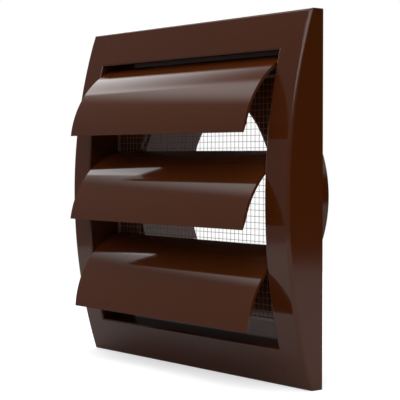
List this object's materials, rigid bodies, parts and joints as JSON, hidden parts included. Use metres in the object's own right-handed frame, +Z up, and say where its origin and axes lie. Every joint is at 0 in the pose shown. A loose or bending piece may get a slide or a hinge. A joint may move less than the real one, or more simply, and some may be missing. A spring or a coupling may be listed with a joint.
{
  "type": "exterior vent cover",
  "caption": "Square arched wall vent cover with hinged gravity flaps, an insect screen and a round duct spigot behind.",
  "frame": {"origin": "on the spigot's axis, in the plane of the wall that the cover's back rim lies on", "axes": "+X right seen from the front, +Y into the wall along the spigot, +Z up; the face looks along -Y"},
  "size_m": [0.19, 0.0755, 0.19],
  "materials": {
    "housing": "gloss",
    "insect_screen": "satin",
    "flaps": "gloss"
  },
  "bodies": {
    "cover": {"housing": "housing", "insect_screen": "insect_screen"},
    "top_flap": {"flap_top": "flaps"},
    "middle_flap": {"flap_middle": "flaps"},
    "bottom_flap": {"flap_bottom": "flaps"}
  },
  "joints": [
    {"name": "top_flap_hinge", "type": "hinge", "parent": "cover", "child": "top_flap", "pos_m": [0, -0.0062, 0.0718], "axis": [-1, 0, 0], "range_deg": [-29.3, 14.7]},
    {"name": "middle_flap_hinge", "type": "hinge", "parent": "cover", "child": "middle_flap", "pos_m": [0, -0.0062, 0.0232], "axis": [-1, 0, 0], "range_deg": [-30, 14]},
    {"name": "bottom_flap_hinge", "type": "hinge", "parent": "cover", "child": "bottom_flap", "pos_m": [0, -0.0062, -0.0254], "axis": [-1, 0, 0], "range_deg": [-25.2, 18.8]}
  ]
}
